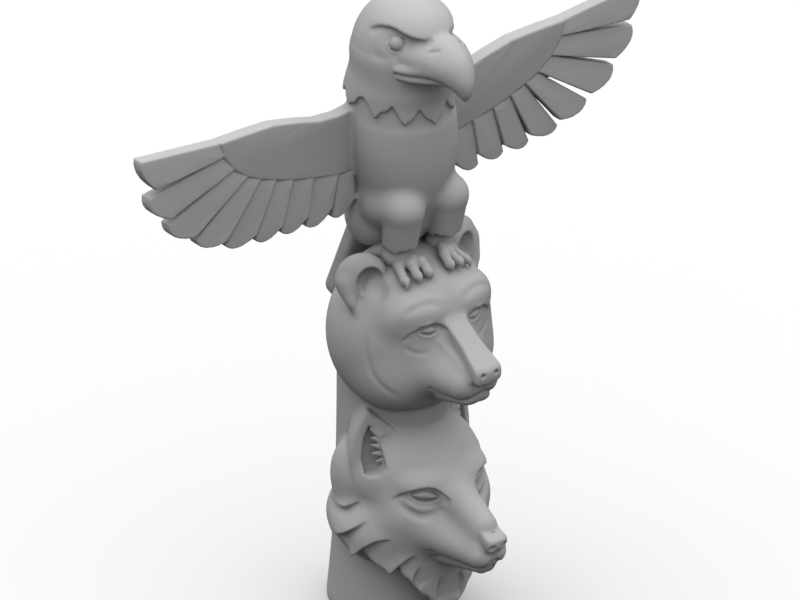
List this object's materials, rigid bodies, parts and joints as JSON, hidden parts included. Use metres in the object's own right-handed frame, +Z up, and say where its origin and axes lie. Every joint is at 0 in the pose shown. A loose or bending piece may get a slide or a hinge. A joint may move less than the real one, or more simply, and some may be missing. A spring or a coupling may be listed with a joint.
{
  "type": "totem pole",
  "caption": "Round stone post carved as a stack of animal heads, wolf below bear, with an eagle standing on top with its wings spread.",
  "frame": {"origin": "centre of the post's round flat underside", "axes": "+Z up the post, -Y the way the animals look, +X towards the eagle's left wing tip"},
  "size_m": [1.6896, 0.6739, 1.7988],
  "materials": {
    "stone": "matte, fine grained"
  },
  "bodies": {
    "root": {"totem_pole": "stone"}
  },
  "joints": []
}
